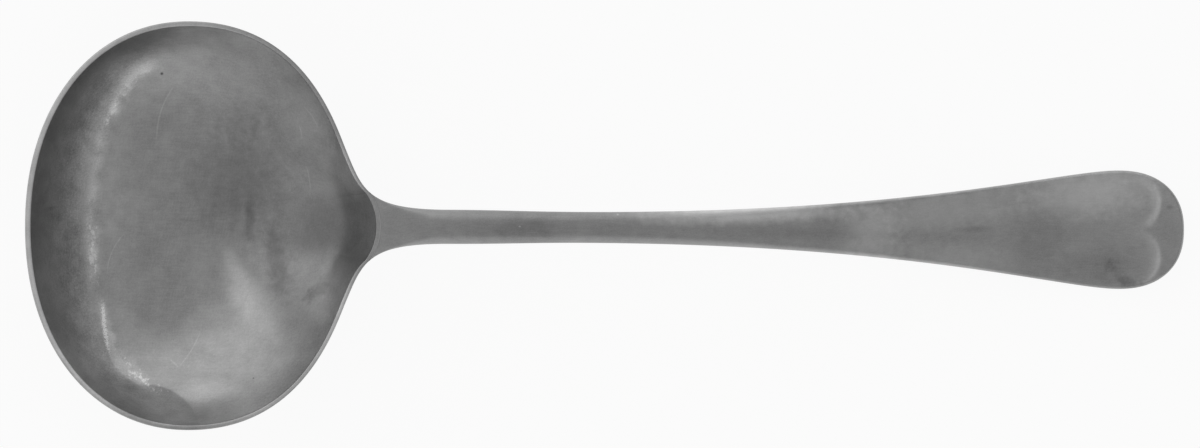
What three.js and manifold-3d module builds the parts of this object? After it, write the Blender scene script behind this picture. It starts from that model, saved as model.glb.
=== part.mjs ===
// Gravy ladle: a pressed bowl, hard-soldered to a forged handle whose heel laps under it.
// Millimetres, +Z up, +X from the bowl to the handle's end, origin on the table under the bowl.
import * as THREE from "three";
import { mergeVertices } from "three/addons/utils/BufferGeometryUtils.js";
import Module from "manifold-3d";

// Bowl seen from above, measured from its widest line
const bowlWidth = 59.8;
const bowlFront = 24.0; // widest line to the front lip
const bowlBack = 27.95; // widest line to the crease where the handle takes over
const frontRoundness = 2.13; // superellipse exponent, 2 is an ellipse
const shoulderWidth = 22.0; // where the rounded back turns into the neck
const shoulderInset = 4.95; // that place, measured back from the crease
const shoulderSlope = 2.41; // sideways run for each millimetre along the ladle, there
const shoulderFullness = 16.65; // how far the widest part runs on before it turns in
const shoulderRunOut = 1.74;
const saddleWidth = 10.1; // of the crease, from corner to corner

// Bowl in section
const bowlDepth = 12.5; // inside, from the lip to the floor
const floorThickness = 1.3;
const lipFront = 0.85; // width of the flat lip at the front
const lipNeck = 0.6; // and beside the neck
const restFlatRadius = 5.0; // the flat underneath that the ladle stands on
const floorInset = 1.5; // the flat floor inside is this much smaller
const hollowPower = 1.95; // of the hollow's rise from the flat floor to the edge
const neckReach = 2.75; // from the back of the bowl's body out to the crease
const neckSpread = 3.0; // power law of the body's growth out to the neck, higher keeps it to the rim

// Wall of the bowl at four places round its edge. The hollow makes a share of the rise to the lip, and
// a wall hinged at a fold makes the rest: run is the way from the edge in to the fold, softness how
// round the fold is, and a power over 1 makes the wall hollow.
const neckWall = { hollowShare: 0.7, run: 3.7, softness: 1.0, power: 1.0 };
const shoulderWall = { hollowShare: 1.0, run: 2.0, softness: 2.0, power: 1.0 };
const sideWall = { hollowShare: 0.92, run: 4.2, softness: 1.5, power: 1.2 };
const frontWall = { hollowShare: 0.4, run: 5.8, softness: 1.5, power: 2.0 };

// Where one of them goes over into the next, as how far round from the neck at 0 to the front at 1
const neckEnd = 0.0;
const shoulderStart = 0.1;
const shoulderEnd = 0.25;
const sideStart = 0.5;
const sideEnd = 0.3;
const frontStart = 1.0;

// Fold at the front, which runs nearly straight across there
const frontFoldRun = 10.8; // from the front lip in to the fold
const foldBlend = 6.0; // how gently it runs into the fold of the sides

// Handle seen from above, measured from the crease
const neckLength = 10.05;
const neckPull = 2.45; // how far the shoulder's slope runs on into the neck
const stemPull = 11.77; // how far the stem's line runs back into the neck
const stemWidth = 5.0; // behind the neck
const waistWidth = 4.52; // at the slimmest place
const waistDistance = 29.55;
const waistPull = 7.5;
const flareLength = 78.9; // from the waist to the widest place of the end
const flareStartPull = 48.6;
const flareEndPull = 8.2;
const endWidth = 17.44;
const endLength = 9.6; // from that widest place to the tip
const endRoundness = 2.3;

// Handle seen from the side
const neckThickness = 3.6;
const stemThickness = 3.4;
const endThickness = 2.2;
const archRise = 5.2; // of the underside, over its height at the crease
const archDistance = 31.0; // from the crease to the top of the arch
const archSlope = 0.3; // of the underside where it leaves the crease
const archStartPull = 10.0;
const archPull = 11.0;
const descentPull = 24.0;
const restDistance = 104.0; // from the crease to where the underside lies on the table
const restPull = 22.0;
const tipLift = 3.0; // of the turned-up tip

// Handle in section
const stemCrown = 0.55; // fall of the top from its ridge to its edges
const endCrown = 0.5;
const crownPower = 1.6;
const edgeRound = 0.3; // fall of the top where it rounds over at the very edge
const edgeRoundPower = 10;
const stemBackRound = 0.9; // rise of the back from its middle to its edges
const endBackRound = 0.35;
const backRoundPower = 2.6;

// Brace-shaped relief on the end: the tip stands proud of two round lobes
const reliefHeight = 0.25;
const reliefSoftness = 0.5;
const lobeRadius = 4.2;
const lobeSpread = 4.05; // from the middle line to the centre of a lobe
const lobeInset = 7.85; // from the tip to the centres of the lobes

// Heel of the handle, lapping under the bowl
const heelLength = 9.4; // from the neck's corner to the round end of the heel
const heelRoundness = 2.5;
const heelThickness = 2.4;
const heelTipThickness = 0.8;
const heelBackRound = 0.6;
const heelFillet = 5.0;

// Solder between the handle and the bowl
const solderThickness = 0.2;
const solderClearance = 0.1;

// Fineness of the surfaces
const frontSteps = 18;
const shoulderSteps = 12;
const neckEdgeSteps = 5;
const saddleSteps = 6;
const wallSteps = 18;
const topSteps = 22;
const backSteps = 10;
const heelSteps = 10;
const neckSteps = 12;
const stemSteps = 8;
const flareSteps = 24;
const endSteps = 14;
const halvings = 45; // of the search for a place on a curve

const { clamp, lerp, smoothstep } = THREE.MathUtils;
const rimHeight = bowlDepth + floorThickness;
const bodyBack = bowlBack - neckReach;
const foldFront = bowlFront - frontFoldRun;
const shoulderX = bowlBack - shoulderInset;
const stemX = bowlBack + neckLength;
const waistX = bowlBack + waistDistance;
const endX = waistX + flareLength;
const restX = bowlBack + restDistance;
const tipX = endX + endLength;
const plugRise = 2 * neckThickness; // how far the cutting body stands over the rim

function bezier(...corners) {
  return new THREE.CubicBezierCurve(...corners.map(([x, y]) => new THREE.Vector2(x, y)));
}

// The place on a curve, as a share of it, where a quantity that falls along it reaches zero.
function crossing(curve, quantity) {
  let before = 0;
  let after = 1;
  for (let halving = 0; halving < halvings; halving += 1) {
    const middle = (before + after) / 2;
    if (quantity(curve.getPoint(middle)) > 0) {
      before = middle;
    } else {
      after = middle;
    }
  }
  return before;
}

function curveHeight(curve, x) {
  return curve.getPoint(crossing(curve, (point) => x - point.x)).y;
}

function smoothMinimum(a, b, blend) {
  const near = Math.max(blend - Math.abs(a - b), 0) / blend;
  return Math.min(a, b) - (near * near * blend) / 4;
}

// Outline of the ladle from above, one half
const shoulder = bezier(
  [0, bowlWidth / 2],
  [shoulderFullness, bowlWidth / 2],
  [shoulderX - shoulderRunOut, shoulderWidth / 2 + shoulderSlope * shoulderRunOut],
  [shoulderX, shoulderWidth / 2],
);
const neck = bezier(
  [shoulderX, shoulderWidth / 2],
  [shoulderX + neckPull, shoulderWidth / 2 - shoulderSlope * neckPull],
  [stemX - stemPull, stemWidth / 2],
  [stemX, stemWidth / 2],
);
const stem = bezier(
  [stemX, stemWidth / 2],
  [stemX + waistPull, stemWidth / 2],
  [waistX - waistPull, waistWidth / 2],
  [waistX, waistWidth / 2],
);
const flare = bezier(
  [waistX, waistWidth / 2],
  [waistX + flareStartPull, waistWidth / 2],
  [endX - flareEndPull, endWidth / 2],
  [endX, endWidth / 2],
);

// The crease is an arc between two corners on the neck's edges.
const cornerShare = crossing(neck, (point) => point.y - saddleWidth / 2);
const corner = neck.getPoint(cornerShare);
const saddleBulge = bowlBack - corner.x;
const saddleRadius = (corner.y ** 2 + saddleBulge ** 2) / (2 * saddleBulge);
const heelX = corner.x - heelLength;

// The underside of the handle from the side: over the arch, down to the table and up to the tip
const creaseUnderside = rimHeight - neckThickness;
const archUnderside = creaseUnderside + archRise;
const arch = bezier(
  [bowlBack, creaseUnderside],
  [bowlBack + archStartPull, creaseUnderside + archSlope * archStartPull],
  [bowlBack + archDistance - archPull, archUnderside],
  [bowlBack + archDistance, archUnderside],
);
const descent = bezier(
  [bowlBack + archDistance, archUnderside],
  [bowlBack + archDistance + descentPull, archUnderside],
  [restX - restPull, 0],
  [restX, 0],
);

function mirroredLoop(half) {
  const other = half.slice(1, -1).reverse();
  return [...half, ...other.map((point) => new THREE.Vector2(point.x, -point.y))];
}

// The bowl's edge from the front lip round to the crease and back, clockwise from above.
function bowlEdge() {
  const half = [];
  for (let step = 0; step < frontSteps; step += 1) {
    const turn = (Math.PI / 2) * (step / frontSteps);
    const along = -bowlFront * Math.cos(turn) ** (2 / frontRoundness);
    const across = (bowlWidth / 2) * Math.sin(turn) ** (2 / frontRoundness);
    half.push(new THREE.Vector2(along, across));
  }
  for (let step = 0; step < shoulderSteps; step += 1) {
    half.push(shoulder.getPoint(step / shoulderSteps));
  }
  for (let step = 0; step < neckEdgeSteps; step += 1) {
    half.push(neck.getPoint((cornerShare * step) / neckEdgeSteps));
  }
  const cornerTurn = Math.asin(corner.y / saddleRadius);
  for (let step = 0; step <= saddleSteps; step += 1) {
    const turn = cornerTurn * (1 - step / saddleSteps);
    const along = bowlBack - saddleRadius * (1 - Math.cos(turn));
    half.push(new THREE.Vector2(along, saddleRadius * Math.sin(turn)));
  }
  return mirroredLoop(half);
}

// How far round from the neck a place on the edge is: 0 at the neck, 1 at the front.
function frontness(edgePoint) {
  return (1 - edgePoint.x / edgePoint.length()) / 2;
}

// How far the bowl's body reaches towards a place on the edge: short of it only beside the neck.
function bodyReach(edgePoint) {
  const reach = edgePoint.length();
  if (edgePoint.x <= 0) {
    return reach;
  }
  const along = edgePoint.x / reach / bodyBack;
  const across = edgePoint.y / reach / (bowlWidth / 2);
  return 1 / Math.hypot(along, across);
}

// A measure of the wall towards a place on the edge.
function wallMeasure(edgePoint, name) {
  const place = frontness(edgePoint);
  let value = neckWall[name];
  value = lerp(value, shoulderWall[name], smoothstep(place, neckEnd, shoulderStart));
  value = lerp(value, sideWall[name], smoothstep(place, shoulderEnd, sideStart));
  return lerp(value, frontWall[name], smoothstep(place, sideEnd, frontStart));
}

function foldReach(edgePoint) {
  const beside = bodyReach(edgePoint) - wallMeasure(edgePoint, "run");
  if (edgePoint.x >= 0) {
    return beside;
  }
  const ahead = (foldFront * edgePoint.length()) / -edgePoint.x;
  return smoothMinimum(ahead, beside, foldBlend);
}

// A place on the bowl's wall, at a share of the way from the flat floor out to the edge, as its
// distance from the middle and its height.
function wallSpot(edgePoint, share, face) {
  const lip = face.lipShare * lerp(lipNeck, lipFront, frontness(edgePoint));
  const body = bodyReach(edgePoint) - lip;
  const fold = foldReach(edgePoint) + face.foldShift;
  const softness = face.softnessGain + wallMeasure(edgePoint, "softness");
  const hinge = (reach) => (reach - fold + Math.hypot(reach - fold, softness)) / 2;
  const hinged = (reach) => hinge(reach) - hinge(face.flatRadius);
  const reach = lerp(face.flatRadius, body, share);
  const hollowRise = share ** hollowPower;
  const wallRise = (hinged(reach) / hinged(body)) ** wallMeasure(edgePoint, "power");
  const rise = lerp(wallRise, hollowRise, wallMeasure(edgePoint, "hollowShare"));
  const spread = (edgePoint.length() - lip - body) * share ** (1 + neckSpread);
  return new THREE.Vector2(reach + spread, lerp(face.floorHeight, rimHeight, rise));
}

const outerFace = {
  flatRadius: restFlatRadius,
  floorHeight: 0,
  lipShare: 0,
  foldShift: floorThickness * 0.8,
  softnessGain: floorThickness,
};
const innerFace = {
  flatRadius: restFlatRadius - floorInset,
  floorHeight: floorThickness,
  lipShare: 1,
  foldShift: 0,
  softnessGain: 0,
};

function wallRing(edge, share, face) {
  return edge.map((edgePoint) => {
    const spot = wallSpot(edgePoint, share, face);
    const place = edgePoint.clone().setLength(spot.x);
    return new THREE.Vector3(place.x, place.y, spot.y);
  });
}

// The rings of one face of the wall, from the flat floor out to the edge.
function wallRings(edge, face) {
  const rings = [];
  for (let step = 0; step <= wallSteps; step += 1) {
    rings.push(wallRing(edge, step / wallSteps, face));
  }
  return rings;
}

// A closed skin over rings of equally many points, with a fan to a point at each end.
function skin(rings, first, last) {
  const count = rings[0].length;
  const points = [first, ...rings.flat(), last];
  const lastIndex = points.length - 1;
  const triangles = [];
  for (let i = 0; i < count; i += 1) {
    const next = (i + 1) % count;
    triangles.push(0, 1 + i, 1 + next);
    for (let ring = 0; ring < rings.length - 1; ring += 1) {
      const here = 1 + ring * count;
      const beyond = here + count;
      triangles.push(here + i, beyond + i, beyond + next);
      triangles.push(here + i, beyond + next, here + next);
    }
    triangles.push(lastIndex, lastIndex - count + next, lastIndex - count + i);
  }
  return new THREE.BufferGeometry().setFromPoints(points).setIndex(triangles);
}

function bowlShell() {
  const edge = bowlEdge();
  const rings = [...wallRings(edge, outerFace), ...wallRings(edge, innerFace).reverse()];
  return skin(rings, new THREE.Vector3(), new THREE.Vector3(0, 0, floorThickness));
}

// The bowl's outer wall as a filled body that stands over the rim: it shapes the saddle.
function bowlPlug() {
  const edge = bowlEdge();
  const top = rimHeight + plugRise;
  const topRing = edge.map((edgePoint) => new THREE.Vector3(edgePoint.x, edgePoint.y, top));
  const rings = [...wallRings(edge, outerFace), topRing];
  return skin(rings, new THREE.Vector3(), new THREE.Vector3(0, 0, top));
}

function grown(geometry, distance) {
  const copy = geometry.clone();
  copy.computeVertexNormals();
  const position = copy.getAttribute("position");
  const normal = copy.getAttribute("normal");
  const spot = new THREE.Vector3();
  const outward = new THREE.Vector3();
  for (let i = 0; i < position.count; i += 1) {
    spot.fromBufferAttribute(position, i);
    outward.fromBufferAttribute(normal, i);
    spot.addScaledVector(outward, distance);
    position.setXYZ(i, spot.x, spot.y, spot.z);
  }
  return copy;
}

function handleHalfWidth(x) {
  if (x < corner.x) {
    const share = clamp((corner.x - x) / heelLength, 0, 1);
    return corner.y * (1 - share ** heelRoundness) ** (1 / heelRoundness);
  }
  if (x < stemX) {
    return curveHeight(neck, x);
  }
  if (x < waistX) {
    return curveHeight(stem, x);
  }
  if (x < endX) {
    return curveHeight(flare, x);
  }
  const share = clamp((x - endX) / endLength, 0, 1);
  return (endWidth / 2) * (1 - share ** endRoundness) ** (1 / endRoundness);
}

// The bowl's outer wall on the middle line, carried on past the crease.
const wallLine = {
  getPoint: (share) => wallSpot(new THREE.Vector2(bowlBack, 0), 2 * share, outerFace),
};

// The underside without the heel.
function stemUnderside(x) {
  if (x > restX) {
    return tipLift * ((x - restX) / (tipX - restX)) ** 2;
  }
  if (x > bowlBack + archDistance) {
    return curveHeight(descent, x);
  }
  if (x > bowlBack) {
    return curveHeight(arch, x);
  }
  return creaseUnderside + archSlope * (x - bowlBack);
}

function handleUnderside(x) {
  if (x > waistX) {
    return stemUnderside(x);
  }
  const lap = lerp(heelTipThickness, heelThickness, smoothstep(x, heelX, corner.x));
  const heelBack = curveHeight(wallLine, x) - lap;
  return smoothMinimum(stemUnderside(x), heelBack, heelFillet);
}

function handleThickness(x) {
  const behindNeck = lerp(neckThickness, stemThickness, smoothstep(x, bowlBack, waistX));
  return lerp(behindNeck, endThickness, smoothstep(x, waistX, endX));
}

// Height of the tip over the two lobes, at a place on the end.
function relief(x, y) {
  const along = x - (tipX - lobeInset);
  const across = Math.abs(y) - lobeSpread;
  const outside = Math.hypot(along, across) - lobeRadius;
  const edge = smoothstep(outside, -reliefSoftness, reliefSoftness);
  return reliefHeight * edge * smoothstep(along, 0, lobeRadius / 2);
}

// A section across the handle: over the top from -Y to +Y, then back along the underside.
function handleRing(x) {
  const half = handleHalfWidth(x);
  const underside = handleUnderside(x);
  const top = x > bowlBack ? stemUnderside(x) + handleThickness(x) : rimHeight;
  const flared = smoothstep(x, waistX, endX);
  const crowned = smoothstep(x, bowlBack, stemX);
  const crown = crowned * lerp(stemCrown, endCrown, flared);
  const stemRound = lerp(heelBackRound, stemBackRound, crowned);
  const backRound = lerp(stemRound, endBackRound, flared);
  const ring = [];
  for (let step = 0; step <= topSteps; step += 1) {
    const side = (2 * step) / topSteps - 1;
    const rounding = crowned * edgeRound * Math.abs(side) ** edgeRoundPower;
    const fall = crown * Math.abs(side) ** crownPower + rounding;
    ring.push(new THREE.Vector3(x, side * half, top - fall + relief(x, side * half)));
  }
  for (let step = 0; step <= backSteps; step += 1) {
    const side = Math.cos((Math.PI * step) / backSteps);
    const rise = backRound * Math.abs(side) ** backRoundPower;
    ring.push(new THREE.Vector3(x, side * half, underside + rise));
  }
  return ring;
}

// Places along the handle where it gets a section, closer together where its form turns fast.
function handleStations() {
  const stations = [];
  const stretch = (from, to, steps) => {
    for (let step = 0; step < steps; step += 1) {
      stations.push(lerp(from, to, step / steps));
    }
  };
  for (let step = 1; step < heelSteps; step += 1) {
    const turn = (Math.PI / 2) * (step / heelSteps);
    stations.push(corner.x - heelLength * Math.cos(turn) ** (2 / heelRoundness));
  }
  stretch(corner.x, stemX, neckSteps);
  stretch(stemX, waistX, stemSteps);
  stretch(waistX, endX, flareSteps);
  for (let step = 0; step < endSteps; step += 1) {
    const turn = (Math.PI / 2) * (step / endSteps);
    stations.push(endX + endLength * Math.sin(turn) ** (2 / endRoundness));
  }
  return stations;
}

function handleBlank() {
  const rings = handleStations().map(handleRing);
  const middle = (ring) => {
    const sum = ring.reduce((total, point) => total.add(point), new THREE.Vector3());
    return sum.divideScalar(ring.length);
  };
  return skin(rings, middle(rings[0]), middle(rings[rings.length - 1]));
}

const wasm = await Module();
wasm.setup();

function solid(geometry) {
  const bare = new THREE.BufferGeometry();
  bare.setAttribute("position", geometry.getAttribute("position"));
  bare.setIndex(geometry.getIndex());
  const merged = mergeVertices(bare);
  const vertProperties = new Float32Array(merged.getAttribute("position").array);
  const triVerts = new Uint32Array(merged.getIndex().array);
  return new wasm.Manifold(new wasm.Mesh({ numProp: 3, vertProperties, triVerts }));
}

function geometryOf(body) {
  const mesh = body.getMesh();
  const geometry = new THREE.BufferGeometry();
  geometry.setAttribute("position", new THREE.BufferAttribute(mesh.vertProperties, 3));
  geometry.setIndex(new THREE.BufferAttribute(mesh.triVerts, 1));
  return geometry;
}

function piece(name, geometry, color, roughness) {
  const material = new THREE.MeshStandardMaterial({ color, roughness, metalness: 1 });
  const mesh = new THREE.Mesh(geometry, material);
  mesh.name = name;
  return mesh;
}

const plug = bowlPlug();
const blank = solid(handleBlank());
const solderInside = solid(grown(plug, solderClearance));
const solderOutside = solid(grown(plug, solderClearance + solderThickness));
const saddle = solid(grown(plug, 2 * solderClearance + solderThickness));

const ladle = new THREE.Group();
ladle.name = "gravy_ladle";
ladle.add(
  piece("bowl", bowlShell(), 0x858585, 0.42),
  piece("handle", geometryOf(blank.subtract(saddle)), 0x8a8a8a, 0.4),
  piece("solder_joint", geometryOf(blank.intersect(solderOutside).subtract(solderInside)), 0x9c9b97, 0.5),
);

export default ladle;
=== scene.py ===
"""Looks of the gravy ladle: bowl, handle and solder line in worn satin steel, lit softly and seen from above.

Metres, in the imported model's frame: +X from the bowl to the handle's end, +Z up, the table at height zero.
"""
import math

import bpy
import numpy as np
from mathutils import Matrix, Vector


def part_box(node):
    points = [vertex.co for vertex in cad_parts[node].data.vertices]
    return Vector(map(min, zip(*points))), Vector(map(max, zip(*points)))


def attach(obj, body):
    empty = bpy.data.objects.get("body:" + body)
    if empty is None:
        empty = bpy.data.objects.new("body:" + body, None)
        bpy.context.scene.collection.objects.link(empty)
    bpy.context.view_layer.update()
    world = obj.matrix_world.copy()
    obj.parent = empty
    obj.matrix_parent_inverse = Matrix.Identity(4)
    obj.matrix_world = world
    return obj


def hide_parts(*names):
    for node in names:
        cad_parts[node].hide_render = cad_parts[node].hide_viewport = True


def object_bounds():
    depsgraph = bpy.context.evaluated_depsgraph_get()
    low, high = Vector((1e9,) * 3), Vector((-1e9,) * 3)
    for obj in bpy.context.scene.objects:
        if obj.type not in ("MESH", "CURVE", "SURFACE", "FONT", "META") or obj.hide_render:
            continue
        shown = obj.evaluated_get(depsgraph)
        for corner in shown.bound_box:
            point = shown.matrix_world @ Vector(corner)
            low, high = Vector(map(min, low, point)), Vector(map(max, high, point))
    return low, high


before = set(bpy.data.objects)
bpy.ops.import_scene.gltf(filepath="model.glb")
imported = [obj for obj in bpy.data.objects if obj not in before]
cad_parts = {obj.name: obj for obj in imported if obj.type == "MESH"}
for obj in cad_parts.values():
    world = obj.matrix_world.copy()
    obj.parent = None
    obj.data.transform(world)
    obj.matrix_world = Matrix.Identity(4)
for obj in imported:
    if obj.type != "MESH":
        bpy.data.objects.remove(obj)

MM = 0.001
TINY = 1e-6

# Sizes that the frame gives
cad_low, cad_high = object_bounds()
bowl_low, bowl_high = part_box("bowl")
_, handle_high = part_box("handle")
bowl_front = -bowl_low.x
bowl_back = bowl_high.x
bowl_half_width = bowl_high.y
rim_height = bowl_high.z
end_half_width = handle_high.y
tip_x = handle_high.x

# Outline of the bowl, from its widest line to the crease where the handle takes over
front_roundness = 2.13
shoulder_half_width = 11.0 * MM
shoulder_x = bowl_back - 4.95 * MM
shoulder_slope = 2.41
shoulder_fullness = 16.65 * MM
shoulder_run_out = 1.74 * MM
saddle_half_width = 5.05 * MM

# Outline of the handle, from the crease to the tip
stem_x = bowl_back + 10.05 * MM
stem_half_width = 2.5 * MM
stem_pull = 11.77 * MM
neck_pull = 2.45 * MM
waist_x = bowl_back + 29.55 * MM
waist_half_width = 2.26 * MM
waist_pull = 7.5 * MM
end_length = 9.6 * MM
end_x = tip_x - end_length
end_roundness = 2.3
flare_start_pull = 48.6 * MM
flare_end_pull = 8.2 * MM
heel_length = 9.4 * MM
heel_roundness = 2.5

# Side view of the handle
neck_thickness = 3.6 * MM
stem_thickness = 3.4 * MM
end_thickness = 2.2 * MM
arch_x = bowl_back + 31.0 * MM
arch_rise = 5.2 * MM
arch_slope = 0.3
arch_start_pull = 10.0 * MM
arch_pull = 11.0 * MM
descent_pull = 24.0 * MM
rest_x = bowl_back + 104.0 * MM
rest_pull = 22.0 * MM
tip_lift = 3.0 * MM
heel_thickness = 2.4 * MM
heel_tip_thickness = 0.8 * MM
heel_fillet = 5.0 * MM
solder_gap = 0.1 * MM
solder_fillet = 0.35 * MM
solder_edge = 0.02 * MM
crease_bevel = 0.06 * MM

# Section of the handle
stem_crown = 0.55 * MM
end_crown = 0.5 * MM
crown_power = 1.6
heel_back_round = 0.6 * MM
stem_back_round = 0.9 * MM
end_back_round = 0.35 * MM
back_round_power = 2.6
stem_edge_radius = 1.8 * MM
end_edge_radius = 0.5 * MM
edge_round_power = 2.8
relief_height = 0.25 * MM
relief_softness = 0.5 * MM
lobe_radius = 4.2 * MM
lobe_spread = 4.05 * MM
lobe_x = tip_x - 7.85 * MM

# Marks on the handle that its finish reads: worn edges, and the brace line that gets a painted highlight
edge_wear_width = 1.0 * MM
brace_fade_on_lobe = 1.2 * MM
brace_fade_on_tip = 0.35 * MM

# Section of the bowl, as the inputs of the tree that lofts it
bowl_sizes = {
    "Half Width": bowl_half_width,
    "Rim Height": rim_height,
    "Lip Round": 0.2 * MM,
    "Lip Front": 0.85 * MM,
    "Lip Neck": 0.6 * MM,
    "Floor Thickness": 1.3 * MM,
    "Rest Flat Radius": 5.0 * MM,
    "Floor Inset": 1.5 * MM,
    "Hollow Power": 1.95,
    "Body Back": bowl_back - 2.75 * MM,
    "Neck Spread": 3.0,
    "Fold Front": bowl_front - 10.8 * MM,
    "Fold Blend": 6.0 * MM,
    "Neck Hollow Share": 0.7,
    "Shoulder Hollow Share": 1.0,
    "Side Hollow Share": 0.92,
    "Front Hollow Share": 0.4,
    "Neck Wall Run": 3.7 * MM,
    "Shoulder Wall Run": 2.0 * MM,
    "Side Wall Run": 4.2 * MM,
    "Front Wall Run": 5.8 * MM,
    "Neck Fold Softness": 1.0 * MM,
    "Shoulder Fold Softness": 2.0 * MM,
    "Side Fold Softness": 1.5 * MM,
    "Front Fold Softness": 1.5 * MM,
    "Neck Wall Power": 1.0,
    "Shoulder Wall Power": 1.0,
    "Side Wall Power": 1.2,
    "Front Wall Power": 2.0,
    "Seat Half Width": saddle_half_width,
}

# Stretches of the bowl's edge, as how far round from the neck at 0 to the front at 1 they end and start
neck_end = 0.0
shoulder_start = 0.1
shoulder_end = 0.25
side_start = 0.5
side_end = 0.3
front_start = 1.0

# Outer face: how far out its fold lies, as a share of the floor's thickness, and the seat's flush share
outer_fold_share = 0.8
flush_seat_share = 0.9

# Tones of the finishes, as the share of light that the bare metal gives back
bowl_tone = 0.325
handle_tone = 0.33
solder_tone = 0.42

# Roughness of the finishes
bowl_roughness = 0.42
handle_roughness = 0.47
solder_roughness = 0.5

# Table: how much of its look is plain white, and the tone of its matt surface
table_whiteness = 0.92
table_tone = (0.9, 0.9, 0.9, 1.0)
white = (1.0, 1.0, 1.0, 1.0)

# Fineness of the meshes
front_steps = 72
shoulder_steps = 56
neck_edge_steps = 22
saddle_steps = 26
flat_steps = 6
wall_steps = 60
lip_steps = 10
lip_closeness = 1.5
section_steps = 44
section_closeness = 2.5
heel_steps = 44
seat_steps = 30
bevel_steps = 5
neck_steps = 60
stem_steps = 40
flare_steps = 130
end_steps = 90
bend_rounds = 5
curve_samples = 800


class Field:
    """A value that changes over a surface: arithmetic on it adds Math nodes to its node tree."""

    def __init__(self, socket):
        self.socket = socket
        self.tree = socket.id_data

    def __add__(self, other):
        return calculate("ADD", self, other)

    def __radd__(self, other):
        return calculate("ADD", other, self)

    def __sub__(self, other):
        return calculate("SUBTRACT", self, other)

    def __rsub__(self, other):
        return calculate("SUBTRACT", other, self)

    def __mul__(self, other):
        return calculate("MULTIPLY", self, other)

    def __rmul__(self, other):
        return calculate("MULTIPLY", other, self)

    def __truediv__(self, other):
        return calculate("DIVIDE", self, other)

    def __rtruediv__(self, other):
        return calculate("DIVIDE", other, self)

    def __pow__(self, other):
        return calculate("POWER", self, other)

    def __neg__(self):
        return calculate("MULTIPLY", self, -1.0)


def feed(socket, value):
    """Links a field or a socket to a node's input, or sets the input to a plain value."""
    if isinstance(value, Field):
        value = value.socket
    if isinstance(value, bpy.types.NodeSocket):
        socket.id_data.links.new(value, socket)
    else:
        socket.default_value = value


def add_node(tree, kind, inputs=None, **settings):
    node = tree.nodes.new(kind)
    for name, value in settings.items():
        setattr(node, name, value)
    for name, value in (inputs or {}).items():
        feed(node.inputs[name], value)
    return node


def calculate(operation, *values):
    tree = next(value.tree for value in values if isinstance(value, Field))
    node = add_node(tree, "ShaderNodeMath", operation=operation)
    for socket, value in zip(node.inputs, values):
        feed(socket, value)
    return Field(node.outputs[0])


# The same words serve numbers, arrays and fields
def square_root(value):
    return calculate("SQRT", value) if isinstance(value, Field) else np.sqrt(value)


def larger(a, b):
    return calculate("MAXIMUM", a, b) if isinstance(a, Field) else np.maximum(a, b)


def smaller(a, b):
    return calculate("MINIMUM", a, b) if isinstance(a, Field) else np.minimum(a, b)


def mix(a, b, share):
    return a + (b - a) * share


def smooth_step(value, low, high):
    share = smaller(larger((value - low) / (high - low), 0.0), 1.0)
    return share * share * (3.0 - 2.0 * share)


def absolute(value):
    return calculate("ABSOLUTE", value) if isinstance(value, Field) else np.abs(value)


def smooth_smaller(a, b, blend):
    apart = a - b
    near = larger(blend - absolute(apart), 0.0) / blend
    return smaller(a, b) - near * near * blend / 4.0


def bowl_face(inside, size):
    """The values in which the bowl's inner and outer faces differ."""
    floor = size["Floor Thickness"]
    if inside:
        return {
            "lip share": 1.0,
            "flat radius": size["Rest Flat Radius"] - size["Floor Inset"],
            "floor height": floor,
            "fold shift": 0.0,
            "softness gain": 0.0,
        }
    return {
        "lip share": 0.0,
        "flat radius": size["Rest Flat Radius"],
        "floor height": 0.0,
        "fold shift": floor * outer_fold_share,
        "softness gain": floor,
    }


def round_the_edge(frontness, measure, size):
    """A measure of the wall, going over from the neck's to the shoulder's, the side's and the front's."""
    stretches = ("Neck", "Shoulder", "Side", "Front")
    neck, shoulder, side, front = (size[f"{stretch} {measure}"] for stretch in stretches)
    value = mix(neck, shoulder, smooth_step(frontness, neck_end, shoulder_start))
    value = mix(value, side, smooth_step(frontness, shoulder_end, side_start))
    return mix(value, front, smooth_step(frontness, side_end, front_start))


def wall_spot(edge_x, edge_y, share, face, size):
    """A place on a face of the bowl's wall, a share of the way from the flat floor to a place on the edge.

    Gives its distance from the middle, its height and how far it lies outside the fold of floor and wall.
    The floor's hollow carries on to the edge, and a wall hinged at the fold takes over a share of the rise.
    """
    length = square_root(edge_x * edge_x + edge_y * edge_y)
    frontness = (1.0 - edge_x / length) / 2.0
    lip = face["lip share"] * mix(size["Lip Neck"], size["Lip Front"], frontness)

    along = larger(edge_x, 0.0) / size["Body Back"]
    across = edge_y / size["Half Width"]
    body_edge = smaller(length / larger(square_root(along * along + across * across), TINY), length)
    run = round_the_edge(frontness, "Wall Run", size)
    ahead = size["Fold Front"] * length / larger(-edge_x, TINY)
    fold = smooth_smaller(ahead, body_edge - run, size["Fold Blend"]) + face["fold shift"]
    softness = face["softness gain"] + round_the_edge(frontness, "Fold Softness", size)
    hollow_share = round_the_edge(frontness, "Hollow Share", size)
    power = round_the_edge(frontness, "Wall Power", size)
    flat = face["flat radius"]
    body = body_edge - lip

    def hinge(reach):
        outside = reach - fold
        return (outside + square_root(outside * outside + softness * softness)) / 2.0

    # At the crease the outer wall runs up to the full height, flush with the handle
    seat_edge = size["Seat Half Width"]
    beside_seat = smooth_step(absolute(edge_y), seat_edge * flush_seat_share, seat_edge)
    seat = (1.0 - beside_seat) * smooth_step(edge_x, 0.0, size["Body Back"]) * (1.0 - face["lip share"])
    wall_top = size["Rim Height"] - size["Lip Round"] * (1.0 - seat)
    depth = wall_top - face["floor height"]
    reach = mix(flat, body, share)
    spread = (length - lip - body) * share ** (size["Neck Spread"] + 1.0)
    risen = ((hinge(reach) - hinge(flat)) / (hinge(body) - hinge(flat))) ** power
    hollow = share ** size["Hollow Power"]
    height = face["floor height"] + depth * mix(risen, hollow, hollow_share)
    return reach + spread, height, reach - fold


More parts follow.
